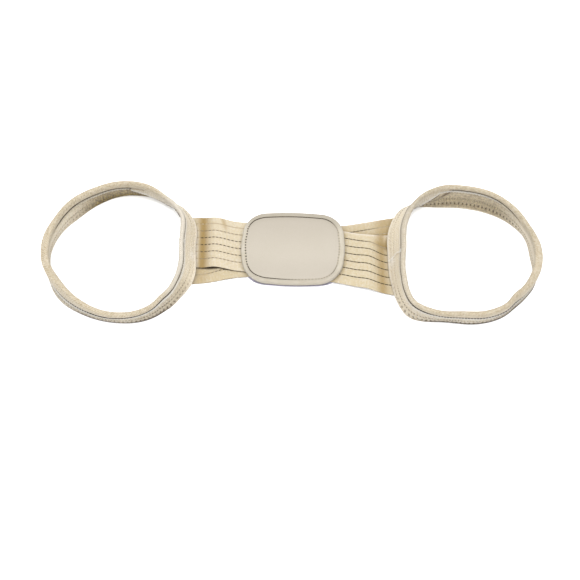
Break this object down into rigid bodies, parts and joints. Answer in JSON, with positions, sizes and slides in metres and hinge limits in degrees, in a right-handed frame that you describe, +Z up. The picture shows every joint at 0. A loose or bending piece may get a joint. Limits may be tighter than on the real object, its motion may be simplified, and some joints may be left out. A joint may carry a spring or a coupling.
{
  "type": "posture corrector",
  "caption": "Upper-back posture corrector: a padded back plate, crossed ribbed elastic straps and soft knitted arm loops, lying on its inner side.",
  "frame": {"origin": "middle of the back pad's underside, on the surface that the part lies on", "axes": "+X along the straps to the right arm loop, +Y across the pad to its upper edge, +Z up out of the pad's outer face"},
  "size_m": [0.5123, 0.1646, 0.0334],
  "materials": {
    "pad_leather": "smooth grey-beige imitation leather",
    "pad_tape": "folded woven tape, stitched",
    "backing_cloth": "pale lilac-white brushed cloth",
    "elastic": "cream ribbed elastic webbing with dark stitched lines",
    "loop_knit": "beige padded knit",
    "loop_tape": "rolled light beige edge tape"
  },
  "bodies": {
    "root": {"pad_panel": "pad_leather", "pad_binding": "pad_tape", "pad_backing": "backing_cloth", "strap_front": "elastic", "strap_back": "elastic", "left_loop_band": "loop_knit", "right_loop_band": "loop_knit", "left_loop_binding": "loop_tape", "right_loop_binding": "loop_tape"}
  },
  "joints": []
}
